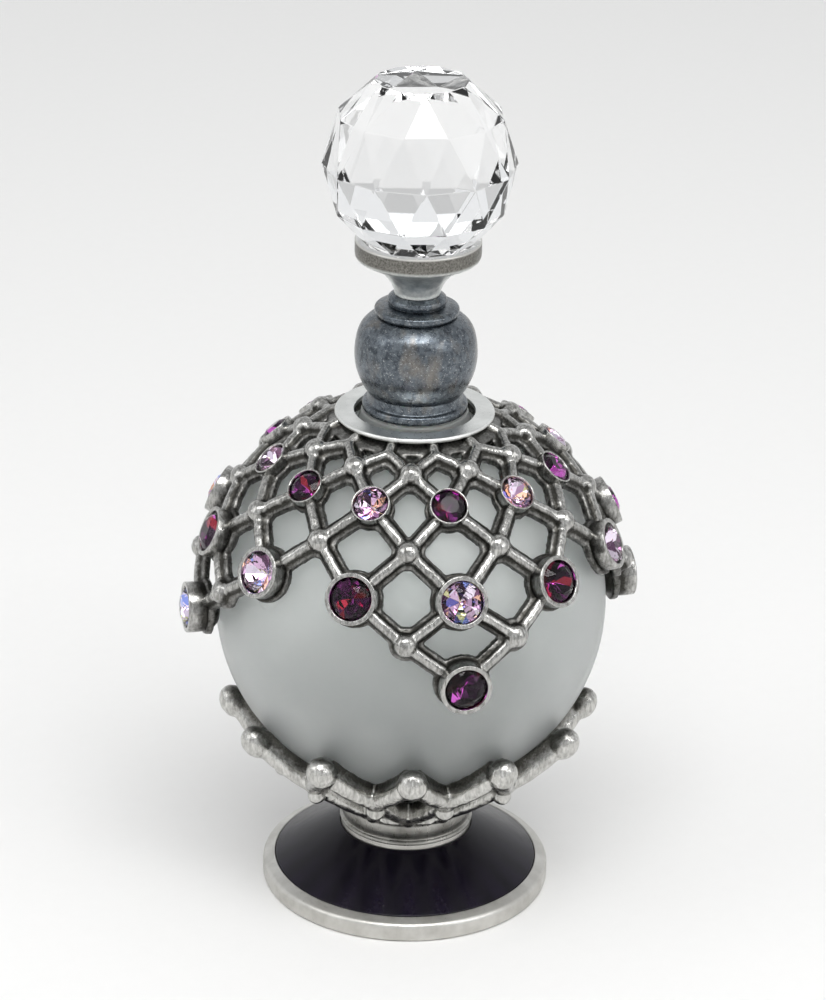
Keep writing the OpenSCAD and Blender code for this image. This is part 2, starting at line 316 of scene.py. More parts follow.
def arc_between(first, second, reach_first, reach_second, count=9):
    """Points round the globe and their outward directions, from one heading to another."""
    path, outwards = [], []
    angle = first.angle(second)
    for i in range(count):
        t = i / (count - 1)
        out = (first * math.sin((1 - t) * angle) + second * math.sin(t * angle)) / math.sin(angle)
        out.normalize()
        outwards.append(out)
        path.append(GLOBE_CENTRE + out * (reach_first + (reach_second - reach_first) * t))
    return path, outwards


def cast_together(made, voxel, smoothing, roughness, grain, seed):
    """Fuses closed shells into one skin, softens it, and gives it a cast surface."""
    fuse = made.modifiers.new("fuse", "REMESH")
    fuse.mode = "VOXEL"
    fuse.voxel_size = voxel * MM
    soften = made.modifiers.new("soften", "SMOOTH")
    soften.factor = 0.5
    soften.iterations = smoothing
    apply_modifiers(made)
    offset = Vector((seed * 7.1, seed * 3.7, 0))
    places, normals = vertex_values(made, "co"), vertex_values(made, "normal")
    rises = []
    for place in places:
        where = Vector(place) / (MM * grain)
        rises.append(noise.noise(where + offset) + 0.5 * noise.noise(where * 2.3 - offset))
    places += normals * np.array(rises)[:, None] * roughness * MM
    made.data.vertices.foreach_set("co", places.ravel())
    made.data.shade_smooth()


def vertex_values(made, field):
    values = np.zeros(len(made.data.vertices) * 3)
    made.data.vertices.foreach_get(field, values)
    return values.reshape(-1, 3)


MOST_TRIANGLES = 190_000


def thin_out(made):
    made.data.calc_loop_triangles()
    count = len(made.data.loop_triangles)
    if count > MOST_TRIANGLES:
        thin = made.modifiers.new("thin", "DECIMATE")
        thin.ratio = MOST_TRIANGLES / count
        apply_modifiers(made)
        made.data.shade_smooth()


def smoothstep(value, low, high):
    t = min(1, max(0, (value - low) / (high - low)))
    return t * t * (3 - 2 * t)


def mark_wear(made, knobs, ridges, reach, web_shine):
    """Writes a wear value to every vertex: full on top, partly back on the web, none in the creases.

    knobs, ridges: (place, outward direction, height of full shine, footprint radius) of each mark
    The shine on top fades to nothing a reach below its full height.
    """
    groups = []
    for marks in (knobs, ridges):
        tree = kdtree.KDTree(len(marks))
        for i, mark in enumerate(marks):
            tree.insert(mark[0], i)
        tree.balance()
        groups.append((tree, marks))
    values = []
    for co in vertex_values(made, "co") / MM:
        nearest = []
        for tree, marks in groups:
            _, i, _ = tree.find(co)
            place, out, height, radius = marks[i]
            away = Vector(co) - place
            above = away.dot(out)
            nearest.append(((away - out * above).length - radius, above, height))
        beside, above, height = min(nearest)
        crest = smoothstep(above, height - reach, height)
        values.append(max(crest, web_shine * smoothstep(beside, 0.02, 0.4)))
    write_wear(made, values)


def write_wear(made, values):
    wear = made.data.attributes.new("wear", "FLOAT", "POINT")
    wear.data.foreach_set("value", values)


# ---- materials ----


class Finish:
    """A Principled material and the few nodes that the finishes are made of."""

    def __init__(self, name, sockets):
        self.material = bpy.data.materials.new(name)
        self.material.use_nodes = True
        self.tree = self.material.node_tree
        self.shader = self.tree.nodes["Principled BSDF"]
        self.place = self.add("ShaderNodeTexCoord").outputs["Object"]
        for socket, value in sockets.items():
            self.put(self.shader.inputs[socket], value)

    def add(self, kind, inputs=None, **settings):
        made = self.tree.nodes.new(kind)
        for key, value in settings.items():
            setattr(made, key, value)
        for key, value in (inputs or {}).items():
            self.put(made.inputs[key], value)
        return made

    def put(self, socket, value):
        if isinstance(value, bpy.types.NodeSocket):
            self.tree.links.new(value, socket)
        else:
            socket.default_value = value

    def scaled_place(self, stretch, turn=(0, 0, 0)):
        mapped = self.add("ShaderNodeMapping", {"Vector": self.place, "Rotation": turn, "Scale": stretch})
        return mapped.outputs["Vector"]

    def noise(self, size, detail=4, rough=0.6, place=None):
        """Noise whose features are about size millimetres across."""
        inputs = {
            "Vector": place or self.place,
            "Scale": 1 / (size * MM),
            "Detail": detail,
            "Roughness": rough,
        }
        return self.add("ShaderNodeTexNoise", inputs).outputs["Fac"]

    def span(self, value, low, high, to_low=0.0, to_high=1.0):
        inputs = {"Value": value, "From Min": low, "From Max": high, "To Min": to_low, "To Max": to_high}
        return self.add("ShaderNodeMapRange", inputs, clamp=True).outputs["Result"]

    def math(self, operation, first, second=0.0):
        return self.add("ShaderNodeMath", {0: first, 1: second}, operation=operation).outputs[0]

    def blend(self, factor, first, second):
        made = self.add("ShaderNodeMix", {0: factor, 6: first, 7: second}, data_type="RGBA")
        return made.outputs[2]

    def attribute(self, name):
        return self.add("ShaderNodeAttribute", attribute_name=name).outputs["Fac"]

    def bump(self, height, depth, strength=1.0, under=None):
        inputs = {"Height": height, "Distance": depth * MM, "Strength": strength}
        if under:
            inputs["Normal"] = under
        return self.add("ShaderNodeBump", inputs).outputs["Normal"]

    def set(self, **sockets):
        for key, value in sockets.items():
            self.put(self.shader.inputs[key.replace("_", " ")], value)
        return self.material


def rgb(r, g, b):
    return (r, g, b, 1.0)


def scaled(tone, share):
    return rgb(*(share * c for c in tone[:3]))


def pewter(name, bright, dull, roughness, scratch=0.012):
    """Satin pewter, brushed one way, with a slow change of tone."""
    finish = Finish(name, {"Metallic": 1.0})
    streaks = finish.noise(0.35, 5, 0.65, finish.scaled_place((1, 1, 0.12)))
    clouds = finish.noise(3.0, 3)
    fine = finish.noise(0.18, 2)
    tone = finish.blend(finish.span(clouds, 0.35, 0.65), dull, bright)
    tone = finish.blend(finish.span(streaks, 0.3, 0.75, 0.0, 0.35), tone, bright)
    normal = finish.bump(streaks, scratch)
    normal = finish.bump(fine, scratch * 0.5, under=normal)
    return finish.set(
        Base_Color=tone,
        Roughness=finish.span(streaks, 0.3, 0.7, roughness - 0.07, roughness + 0.09),
        Normal=normal,
    )


def antique_pewter(name, low_tone, bright_low, bright_high, wear_from, wear_to, scratch):
    """Cast pewter: dark patina low down, worn bright where it stands proud."""
    finish = Finish(name, {"Metallic": 1.0})
    wear = finish.attribute("wear")
    patches = finish.noise(1.1, 4, 0.65)
    fine = finish.noise(0.22, 4, 0.7)
    streaks = finish.noise(0.3, 3, 0.6, finish.scaled_place((1, 1, 0.25), (0.5, 0.3, 0)))
    ragged = finish.math("ADD", wear, finish.span(patches, 0.3, 0.7, -0.22, 0.22))
    ragged = finish.math("ADD", ragged, finish.span(fine, 0.3, 0.7, -0.1, 0.1))
    shine = finish.span(ragged, wear_from, wear_to)
    bright = finish.blend(finish.span(streaks, 0.3, 0.7), bright_low, bright_high)
    dark = finish.blend(finish.span(fine, 0.3, 0.7), low_tone, scaled(low_tone, 2.2))
    normal = finish.bump(streaks, scratch)
    normal = finish.bump(fine, scratch * 0.6, under=normal)
    return finish.set(
        Base_Color=finish.blend(shine, dark, bright),
        Roughness=finish.span(shine, 0, 1, 0.36, 0.2),
        Normal=normal,
    )


def frosted_glass():
    """Acid-frosted glass, a little cloudy, pale grey-green."""
    finish = Finish("frosted glass", {"Transmission Weight": 0.9, "IOR": 1.45})
    clouds = finish.noise(11, 4)
    grain = finish.noise(0.16, 2, 0.5)
    tone = finish.blend(finish.span(clouds, 0.35, 0.65), rgb(0.83, 0.855, 0.845), rgb(0.92, 0.94, 0.93))
    return finish.set(
        Base_Color=tone,
        Roughness=finish.span(clouds, 0.3, 0.7, 0.40, 0.46),
        Normal=finish.bump(grain, 0.004),
    )


def clear_glass(name, tint):
    """Drawn glass with a faint ripple in its surface."""
    finish = Finish(name, {"Transmission Weight": 1.0, "IOR": 1.5, "Roughness": 0.02})
    ripple = finish.noise(2.2, 2)
    tone = finish.blend(finish.span(ripple, 0.3, 0.7), tint, scaled(tint, 0.97))
    return finish.set(Base_Color=tone, Normal=finish.bump(ripple, 0.01))


def crystal():
    """Cut crystal: clear, with faint clouds in its polish."""
    finish = Finish("crystal", {"Transmission Weight": 1.0, "IOR": 1.52})
    clouds = finish.noise(2.5, 3)
    tone = finish.blend(finish.span(clouds, 0.35, 0.65), rgb(0.975, 0.98, 0.985), rgb(0.99, 0.99, 0.99))
    return finish.set(Base_Color=tone, Roughness=finish.span(clouds, 0.3, 0.7, 0.0, 0.03))


def gem_glass(name, tint):
    """The clear body of a stone."""
    finish = Finish(name, {"Transmission Weight": 1.0, "IOR": 1.33})
    clouds = finish.noise(1.2, 2)
    tone = finish.blend(finish.span(clouds, 0.3, 0.7), tint, scaled(tint, 0.94))
    return finish.set(Base_Color=tone, Roughness=finish.span(clouds, 0.3, 0.7, 0.0, 0.006))


def gem_foil_painted_glints(name, facet_colours_painted_glints):
    """The foiled back of a stone: each facet takes one of the colours given, at random. Among them are the
    stone's own colour, painted glints, painted rainbow fire and painted dark facets.
    """
    finish = Finish(name, {"Metallic": 1.0})
    share = finish.attribute("facet")
    tone = rgb(*facet_colours_painted_glints[0])
    for i in range(1, len(facet_colours_painted_glints)):
        edge = i / len(facet_colours_painted_glints)
        tone = finish.blend(finish.span(share, edge - 0.001, edge + 0.001), tone, rgb(*facet_colours_painted_glints[i]))
    return finish.set(Base_Color=tone, Roughness=finish.span(share, 0, 1, 0.02, 0.05))


def enamel():
    """Deep purple enamel, clear and glossy, over a ground with fluted rays."""
    finish = Finish("purple enamel", {"IOR": 1.48, "Specular IOR Level": 0.25})
    axes = finish.add("ShaderNodeSeparateXYZ", {"Vector": finish.place})
    x, y = axes.outputs["X"], axes.outputs["Y"]
    angle = finish.math("ARCTAN2", y, x)
    squared = finish.math("ADD", finish.math("MULTIPLY", x, x), finish.math("MULTIPLY", y, y))
    depth = finish.span(finish.math("SQRT", squared), 9 * MM, 15.5 * MM)
    flute_count = 24
    rays = finish.span(finish.math("SINE", finish.math("MULTIPLY", angle, flute_count)), -1, 1)
    flutes = finish.math("MULTIPLY", rays, depth)
    speckle = finish.noise(0.5, 4, 0.7)
    dark, pale = rgb(0.0015, 0.001, 0.003), rgb(0.006, 0.004, 0.011)
    tone = finish.blend(finish.span(speckle, 0.35, 0.75), dark, pale)
    tone = finish.blend(finish.math("MULTIPLY", flutes, 0.5), tone, rgb(0.010, 0.006, 0.018))
    ripple = finish.noise(5.0, 2)
    return finish.set(
        Base_Color=tone,
        Roughness=finish.span(speckle, 0.3, 0.7, 0.2, 0.26),
        Normal=finish.bump(ripple, 0.05),
    )


def blued_pewter():
    """Patinated bulb: blue-grey mottle, bright specks, and a brownish patch."""
    finish = Finish("blued pewter", {"Metallic": 1.0, "Coat Weight": 0.12, "Coat Roughness": 0.15})
    mottle = finish.noise(0.7, 5, 0.7)
    patch = finish.noise(2.6, 3, 0.6, finish.scaled_place((1, 1, 0.5), (0.6, 0.9, 0.4)))
    worn_spot = Vector((-1.2, -BULB_R, MOUTH_Z + 6.2)) * MM
    away = finish.add("ShaderNodeVectorMath", {0: finish.place, 1: worn_spot}, operation="DISTANCE")
    patch = finish.math("ADD", patch, finish.span(away.outputs["Value"], MM, 7 * MM, 0.09, -0.03))
    specks = finish.noise(0.22, 3, 0.8)
    tone = finish.blend(finish.span(mottle, 0.35, 0.65), rgb(0.05, 0.06, 0.073), rgb(0.17, 0.193, 0.215))
    tone = finish.blend(finish.span(patch, 0.52, 0.70, 0, 0.6), tone, rgb(0.25, 0.225, 0.195))
    tone = finish.blend(finish.span(specks, 0.60, 0.68, 0, 0.8), tone, rgb(0.66, 0.68, 0.68))
    return finish.set(
        Base_Color=tone,
        Roughness=finish.span(mottle, 0.3, 0.7, 0.24, 0.32),
        Normal=finish.bump(specks, 0.012, under=finish.bump(mottle, 0.02)),
    )


def dish_pewter():
    """Grey-brown flare, with a paler speckled rim."""
    finish = Finish("dish pewter", {"Metallic": 1.0})
    axes = finish.add("ShaderNodeSeparateXYZ", {"Vector": finish.place})
    rim = finish.span(axes.outputs["Z"], (DISH_TOP - 2.1) * MM, (DISH_TOP - 1.7) * MM)
    mottle = finish.noise(0.8, 5, 0.7)
    specks = finish.noise(0.25, 4, 0.8)
    flare = finish.blend(finish.span(mottle, 0.35, 0.65), rgb(0.50, 0.525, 0.52), rgb(0.76, 0.77, 0.75))
    side = finish.blend(finish.span(specks, 0.35, 0.65), rgb(0.08, 0.077, 0.068), rgb(0.27, 0.262, 0.24))
    edge = finish.span(axes.outputs["Z"], (DISH_TOP - 0.3) * MM, (DISH_TOP - 0.12) * MM)
    side = finish.blend(edge, side, rgb(0.66, 0.65, 0.62))
    return finish.set(
        Base_Color=finish.blend(rim, flare, side),
        Roughness=finish.span(mottle, 0.3, 0.7, 0.28, 0.42),
        Normal=finish.bump(specks, 0.02),
    )


def clear_cement():
    """The bright bed under the ball."""
    finish = Finish("bright cement", {"Metallic": 0.3})
    clouds = finish.noise(1.5, 3)
    tone = finish.blend(finish.span(clouds, 0.3, 0.7), rgb(0.80, 0.80, 0.79), rgb(0.90, 0.90, 0.89))
    return finish.set(Base_Color=tone, Roughness=finish.span(clouds, 0.3, 0.7, 0.2, 0.3))


def plug_plastic():
    """Milky polyethylene."""
    finish = Finish("plug plastic", {"Subsurface Weight": 0.15, "Subsurface Scale": 0.001, "IOR": 1.5})
    clouds = finish.noise(1.5, 3)
    tone = finish.blend(finish.span(clouds, 0.3, 0.7), rgb(0.78, 0.77, 0.72), rgb(0.86, 0.85, 0.81))
    return finish.set(
        Base_Color=tone,
        Roughness=finish.span(clouds, 0.3, 0.7, 0.38, 0.48),
        Normal=finish.bump(finish.noise(0.3, 3), 0.006),
    )


def drawn_wire():
    """Bare pin with lines along its length."""
    finish = Finish("drawn wire", {"Metallic": 1.0})
    lines = finish.noise(0.12, 3, 0.6, finish.scaled_place((1, 1, 0.05)))
    tone = finish.blend(finish.span(lines, 0.3, 0.7), rgb(0.5, 0.5, 0.5), rgb(0.68, 0.68, 0.67))
    return finish.set(Base_Color=tone, Roughness=finish.span(lines, 0.3, 0.7, 0.25, 0.35))


def dress(made, body, material, slot, *nodes):
    """Gives a piece its material and its body, and hides the CAD nodes it stands for."""
    for one in material if isinstance(material, list) else [material]:
        made.data.materials.append(one)
    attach(made, body)
    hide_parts(*nodes)


# ---- foot ----


def build_foot(finish):
    side_h = 2.1
    rim_in = FOOT_R - 1.45
    recess, recess_r = 1.2, FOOT_R - 2.5
    outline = [
        (0, recess, 0),
        (recess_r, recess, 0.3),
        (recess_r, 0, 0.25),
        (FOOT_R, 0, 0.45),
        (FOOT_R, side_h, 0.5),
        (rim_in, side_h + 0.62, 0.22),
        (rim_in - 0.15, side_h + 0.1, 0.1),
        (FOOT_NECK_R - 0.05, BAND_Z - 1, 0.1),
        (FOOT_NECK_R - 0.05, BAND_Z, 0.1),
        (0, BAND_Z, 0),
    ]
    dress(turned("foot_casting", outline, 192), "bottle", finish, "pewter", "foot")


def build_enamel(finish):
    outline = [
        (FOOT_R - 1.62, 2.2, 0),
        (FOOT_R - 1.52, 2.66, 0.15),
        (13.2, 4.35, 2.2),
        (10.2, 6.05, 2.2),
        (FOOT_NECK_R + 0.02, 7.2, 0.2),
        (FOOT_NECK_R, 6.75, 0),
    ]
    dress(turned("enamel_cone", outline, 192, 10), "bottle", finish, "enamel", "foot_enamel")


def build_band(finish):
    outline = [
        (0, BAND_Z, 0),
        (BAND_R, BAND_Z, 0.2),
        (BAND_R, BAND_Z + 0.42, 0.2),
        (BAND_R - 0.34, BAND_Z + 0.62, 0.12),
        (BAND_R - 0.05, BAND_Z + 1.5, 1.0),
        (BAND_R, BAND_TOP, 0.3),
        (0, BAND_TOP, 0),
    ]
    dress(turned("band_ring", outline, 160), "bottle", finish, "pewter", "foot_band")


# ---- basket ----


def basket_bar(parts, ridges, first, second, half_width, ridge_r, web_top):
    """A rod between two joints (row, column), with a web behind it down to the glass."""
    ends = basket_heading(*first), basket_heading(*second), BASKET_REACH[first[0]], BASKET_REACH[second[0]]
    path, outs = arc_between(*ends)
    sections = [
        bar_section(half_width, -min(over_glass(p, out), 1.9), web_top, ridge_r, steps=12)
        for p, out in zip(path, outs)
    ]
    parts.sweep(path, outs, sections)
    ridges += [(p, out, ridge_r * 0.55, ridge_r) for p, out in zip(*arc_between(*ends, count=25))]


def basket_ball(parts, knobs, row, column, lift, radii, drop=0.0):
    """A lump or bead at a joint, lifted outwards, or a little below it."""
    out = (basket_heading(row, column) + Vector((0, 0, -drop))).normalized()
    place = GLOBE_CENTRE + out * (BASKET_REACH[row] + lift)
    parts.ball(place, radii, axes_along(out))
    knobs.append((place, out, radii[2] * 0.45, radii[0]))


def build_basket(finish):
    """Zigzag rods with lumps on their peaks, thin braces, and beads on the floor ring."""
    parts = Parts()
    knobs, ridges = [], []
    for c in range(COLUMNS):
        for peak in (c, c - 1):
            basket_bar(parts, ridges, (1, c), (0, peak), half_width=1.04, ridge_r=1.18, web_top=-0.4)
            basket_bar(parts, ridges, (1, c), (2, peak), half_width=0.8, ridge_r=0.75, web_top=-0.3)
        basket_ball(parts, knobs, 0, c, lift=0.25, radii=(1.85, 2.15, 1.75))
        basket_ball(parts, knobs, 1, c, lift=0.1, radii=(1.45, 1.3, 1.25))
        basket_ball(parts, knobs, 1, c, lift=1.05, radii=(1.15, 1.15, 1.15), drop=0.092)
        out = heading(math.pi / 2, (c + 0.5) * STEP + BASKET_TURN)
        place = out * (BAND_R + 0.05) + Vector((0, 0, BAND_TOP + 0.75))
        parts.ball(place, (1.0, 1.0, 0.74))
        knobs.append((place, out, 0.4, 0.9))
    parts.turned_on(Vector(), Matrix.Identity(3), floor_ring_outline(), 96)
    made = parts.object("basket_casting")
    cast_together(made, voxel=0.2, smoothing=3, roughness=0.06, grain=1.1, seed=1)
    keep_between(made, BAND_TOP, MOUTH_Z)
    thin_out(made)
    mark_wear(made, knobs, ridges, reach=2.0, web_shine=0.45)
    dress(made, "bottle", finish, "antique_pewter", "basket")


def over_glass(place, out):
    """How far a place stands from the globe, measured back along an outward direction."""
    away = place - GLOBE_CENTRE
    along = away.dot(out)
    return along - math.sqrt(max(0, along**2 - away.length_squared + (GLOBE_R + 0.12) ** 2))


def floor_ring_outline():
    floor_r = BAND_R + 0.2
    low_r, high_r = 5.0, 6.8
    return [
        (low_r, BAND_TOP, 0),
        (floor_r, BAND_TOP, 0.1),
        (floor_r, BAND_TOP + 1.0, 0.3),
        (7.6, BAND_TOP + 1.5, 0.3),
        (high_r, under_globe(high_r), 0.1),
        (low_r, under_globe(low_r), 0),
    ]


def under_globe(r):
    """Height just under the glass at a radius."""
    return GLOBE_Z - math.sqrt((GLOBE_R + 0.1) ** 2 - r * r)


def keep_between(made, low, high):
    """Flattens what stands below one height or above the other."""
    places = vertex_values(made, "co")
    places[:, 2] = np.clip(places[:, 2], low * MM, high * MM)
    made.data.vertices.foreach_set("co", places.ravel())


# ---- net ----


def is_point(column):
    return column % POINT_EVERY == 0


def beside_point(column):
    return is_point(column) or is_point(column + 1)


def net_bars():
    """Pairs of joints (row, column) that a bar runs between."""
    bars = []
    for c in range(COLUMNS):
        for row in range(LARGE_ROW):
            beside = c + 1 if row % 2 else c - 1
            bars += [((row, c), (row + 1, c)), ((row, c), (row + 1, beside))]
        if beside_point(c):
            bars += [((5, c), (4, c)), ((5, c), (4, c + 1))]
            bars.append(((5, c), (6, c if is_point(c) else c + 1)))
    return bars


NET_LIFT = [0.1, 0.15, 0.2, 0.35, 0.4, 0.65, 0.6]  # ridge centres above the shell's middle, by row
NET_MIDDLE = GLOBE_R + 1.55
NET_DEPTH = 1.15  # from the ridges' centres in to the back of the net
RIDGE_R = 0.66
WEB_HALF_WIDTH = 1.15
WEB_DROP = 0.16  # from the ridges' centres in to the front of the web
BEAD_RADII = (1.42, 1.42, 1.25)  # sideways, along the surface, outwards
BEAD_LIFT = 0.15  # above the ridges' centres
BEAD_MARK = (0.8, 1.3)  # height of full shine and footprint radius, for mark_wear
BEAD_WEB_R = 1.95
ROOT_TILT = math.radians(20.4)  # where the first bars spring from, under the collar
BEZEL_R = {SMALL_ROW: 2.25, LARGE_ROW: 3.0, POINT_ROW: 3.0}
BEZEL_RISE = {SMALL_ROW: 1.2, LARGE_ROW: 1.55, POINT_ROW: 1.55}
STONE_R = {SMALL_ROW: 1.95, LARGE_ROW: 2.38, POINT_ROW: 2.38}


def ridge_reach(row):
    """Distance of a row's ridge centres from the globe's centre."""
    return NET_MIDDLE + NET_LIFT[row]


def seat_floor(row):
    """Height of a cup's floor, under its stone, from the net's reach there."""
    return BEZEL_RISE[row] - 0.3 - 0.75 * STONE_R[row]


def bezel_outline(row):
    """A cup with a thin rim, from its foot on the glass to the rim and down to the stone's seat."""
    r, rise, seat_r = BEZEL_R[row], BEZEL_RISE[row], STONE_R[row] + 0.03
    foot = GLOBE_R + 0.15 - net_reach(row)
    seat = seat_floor(row)
    return [
        (0, foot, 0),
        (r * 0.62, foot, 0.4),
        (r * 0.95, foot + 0.9, 0.9),
        (r, rise - 1.1, 0.5),
        (r, rise, 0.16),
        (seat_r + 0.08, rise, 0.1),
        (seat_r, rise - 0.22, 0.05),
        (seat_r, seat, 0),
        (0, seat, 0),
    ]


def net_bar(parts, ridges, first, second, reach, reach_2):
    """A bar of the net between two headings: a narrow round ridge on a flat web."""
    path, outs = arc_between(first, second, reach, reach_2)
    parts.sweep(path, outs, [bar_section(WEB_HALF_WIDTH, -NET_DEPTH, -WEB_DROP, RIDGE_R)] * len(path))
    fine = arc_between(first, second, reach, reach_2, count=25)
    ridges += [(p, out, 0.9 * RIDGE_R, RIDGE_R) for p, out in zip(*fine)]


def net_skin():
    """The bars, their joints and the ring under the collar, as closed shells with wear marks."""
    parts = Parts()
    knobs, ridges = [], []
    for (row, column), (row_2, column_2) in net_bars():
        ends = net_heading(row, column), net_heading(row_2, column_2)
        net_bar(parts, ridges, *ends, ridge_reach(row), ridge_reach(row_2))
    for c in range(COLUMNS):
        apex = net_heading(0, c)
        root = heading(ROOT_TILT, (c + ROW_SHIFT[0]) * STEP)
        net_bar(parts, ridges, apex, root, ridge_reach(0), ridge_reach(0))
        for row in (1, 3, 5):
            if row == 5 and not beside_point(c):
                continue
            out = net_heading(row, c)
            place = GLOBE_CENTRE + out * (ridge_reach(row) + BEAD_LIFT)
            parts.ball(place, BEAD_RADII, axes_along(out))
            parts.turned_on(GLOBE_CENTRE, axes_along(out), web_disc(row, BEAD_WEB_R), 24)
            knobs.append((place, out, *BEAD_MARK))
    for row, column in stone_seats():
        out = net_heading(row, column)
        parts.turned_on(GLOBE_CENTRE, axes_along(out), web_disc(row, BEZEL_R[row] + 0.3), 32)
        out_of_reach = 2 * GLOBE_R
        knobs.append((GLOBE_CENTRE + out * ridge_reach(row), out, out_of_reach, BEZEL_R[row]))
    parts.turned_on(GLOBE_CENTRE, Matrix.Identity(3), top_ring_outline(), 120)
    return parts, knobs, ridges


def web_disc(row, radius):
    """A flat disc at a joint, in section, with heights from the globe's centre."""
    low, top = ridge_reach(row) - NET_DEPTH, ridge_reach(row) - 0.25
    return [(0, low, 0), (radius, low, 0.1), (radius, top, 0.15), (0, top, 0)]


def top_ring_outline():
    """The band round the neck that the net's first bars spring from, in section."""
    low, high = GLOBE_R + 0.3, GLOBE_R + 1.7
    first, last = math.radians(18.6), math.radians(24.2)
    corners = [(low, first), (high, first), (high, last), (low, last)]
    return [(reach * math.sin(tilt), reach * math.cos(tilt), 0.2) for reach, tilt in corners]


def build_net(finish):
    parts, knobs, ridges = net_skin()
    made = parts.object("net_casting")
    cast_together(made, voxel=0.19, smoothing=2, roughness=0.05, grain=0.9, seed=2)
    keep_between(made, 0, COLLAR_LOW.z - 0.02)
    sink_seats(made)
    thin_out(made)
    mark_wear(made, knobs, ridges, reach=0.5, web_shine=0.42)
    dress(made, "bottle", finish, "antique_pewter", "net_cap")


def sink_seats(made):
    """Presses the skin inside each cup down to just under the stone's seat."""
    centre = np.array([0, 0, GLOBE_Z])
    places = vertex_values(made, "co") / MM - centre
    for row, column in stone_seats():
        out = np.array(net_heading(row, column))
        above = places @ out
        aside = np.linalg.norm(places - above[:, None] * out, axis=1)
        floor = net_reach(row) + seat_floor(row) - 0.1
        high = (above > floor) & (aside < STONE_R[row] + 0.13)
        places[high] += (floor - above[high])[:, None] * out
    made.data.vertices.foreach_set("co", ((places + centre) * MM).ravel())


def stone_seats():
    seats = [(row, c) for row in (SMALL_ROW, LARGE_ROW) for c in range(COLUMNS)]
    return seats + [(POINT_ROW, c) for c in range(COLUMNS) if is_point(c)]


def build_bezels(finish):
    """The stones' cups, bright at the rim and dark at the foot."""
    parts = Parts()
    for row, column in stone_seats():
        out = net_heading(row, column)
        parts.turned_on(GLOBE_CENTRE + out * net_reach(row), axes_along(out), bezel_outline(row), 64)
    made = parts.object("stone_cups")
    values = []
    seats = stone_seats()
    heads = np.array([net_heading(*seat) for seat in seats])
    away = vertex_values(made, "co") / MM - np.array(GLOBE_CENTRE)
    along = away @ heads.T
    for i, k in enumerate(along.argmax(axis=1)):
        row = seats[k][0]
        above = along[i, k] - net_reach(row)
        values.append(smoothstep(above, BEZEL_RISE[row] - 2.2, BEZEL_RISE[row] - 0.15))
    write_wear(made, values)
    weight_normals(made)
    dress(made, "bottle", finish, "antique_pewter", "net_cap")


# ---- stones ----


CROWN = 0.34  # of a stone's radius
SUNK = 0.12  # how far a table lies below its CAD solid's outermost plane


def brilliant(name, radius, seed):
    """A round stone: eight-sided table, stars, kites and halves over a foiled pavilion."""
    crown, depth, girdle = CROWN * radius, 0.7 * radius, 0.03 * radius
    table_r, star_r, low_r, culet_r = 0.56 * radius, 0.78 * radius, 0.55 * radius, 0.04 * radius
    half = TURN / 16
    star_z = crown * (radius - star_r * math.cos(half)) / (radius - table_r)
    low_z = depth * (1 - low_r * math.cos(half) / radius)

    def ring(r, z, count, shift):
        angles = [(i + shift) * TURN / count for i in range(count)]
        return [(r * math.cos(angle), r * math.sin(angle), z) for angle in angles]

    rings = [
        ring(table_r, crown, 8, 0),
        ring(star_r, star_z, 8, 0.5),
        ring(radius, girdle, 16, 0),
        ring(radius, -girdle, 16, 0),
        ring(low_r, -low_z, 8, 0.5),
        ring(culet_r, -depth, 8, 0),
    ]
    start = np.cumsum([0] + [len(r) for r in rings])

    def at(k, i):
        return int(start[k] + i % len(rings[k]))

    crown_faces = [[at(0, i) for i in range(8)]]
    back_faces = [[at(5, i) for i in range(7, -1, -1)]]
    for i in range(8):
        crown_faces.append([at(0, i), at(1, i), at(0, i + 1)])
        crown_faces.append([at(0, i), at(1, i - 1), at(2, 2 * i), at(1, i)])
        crown_faces.append([at(1, i), at(2, 2 * i), at(2, 2 * i + 1)])
        crown_faces.append([at(1, i), at(2, 2 * i + 1), at(2, 2 * i + 2)])
        back_faces.append([at(4, i), at(3, 2 * i + 1), at(3, 2 * i)])
        back_faces.append([at(4, i), at(3, 2 * i + 2), at(3, 2 * i + 1)])
        back_faces.append([at(4, i), at(3, 2 * i), at(4, i - 1), at(5, i)])
        back_faces.append([at(5, i + 1), at(4, i), at(5, i)])
    sides = [[at(2, i), at(3, i), at(3, i + 1), at(2, i + 1)] for i in range(16)]
    faces = crown_faces + back_faces + sides
    made = make_object(name, [v for r in rings for v in r], faces)
    face_outward(made)
    made.data.shade_flat()
    chance = np.random.default_rng(seed)
    # Each face draws a random value that picks its foil colour: the stone's own colour, a painted glint,
    # painted fire or a painted dark facet.
    share = made.data.attributes.new("facet", "FLOAT", "FACE")
    share.data.foreach_set("value", chance.random(len(made.data.polygons)))
    for polygon in made.data.polygons:
        polygon.material_index = 0 if polygon.center.z > 0 else 1
    return made


def place_stone(made, node, radius, spin):
    """Stands a stone where its CAD solid is: its table at the solid's outermost plane."""
    solid = frame["nodes"][node].data
    points = np.array([v.co for v in solid.vertices]) / MM
    centre = np.array([0, 0, GLOBE_Z])
    out = Vector(points.mean(axis=0) - centre).normalized()
    top = max((points - centre) @ np.array(out))
    axes = axes_along(out) @ Matrix.Rotation(spin, 3, "Z")
    where = Vector(centre) + out * (top - SUNK - CROWN * radius)
    made.matrix_world = Matrix.Translation(where * MM) @ axes.to_4x4()


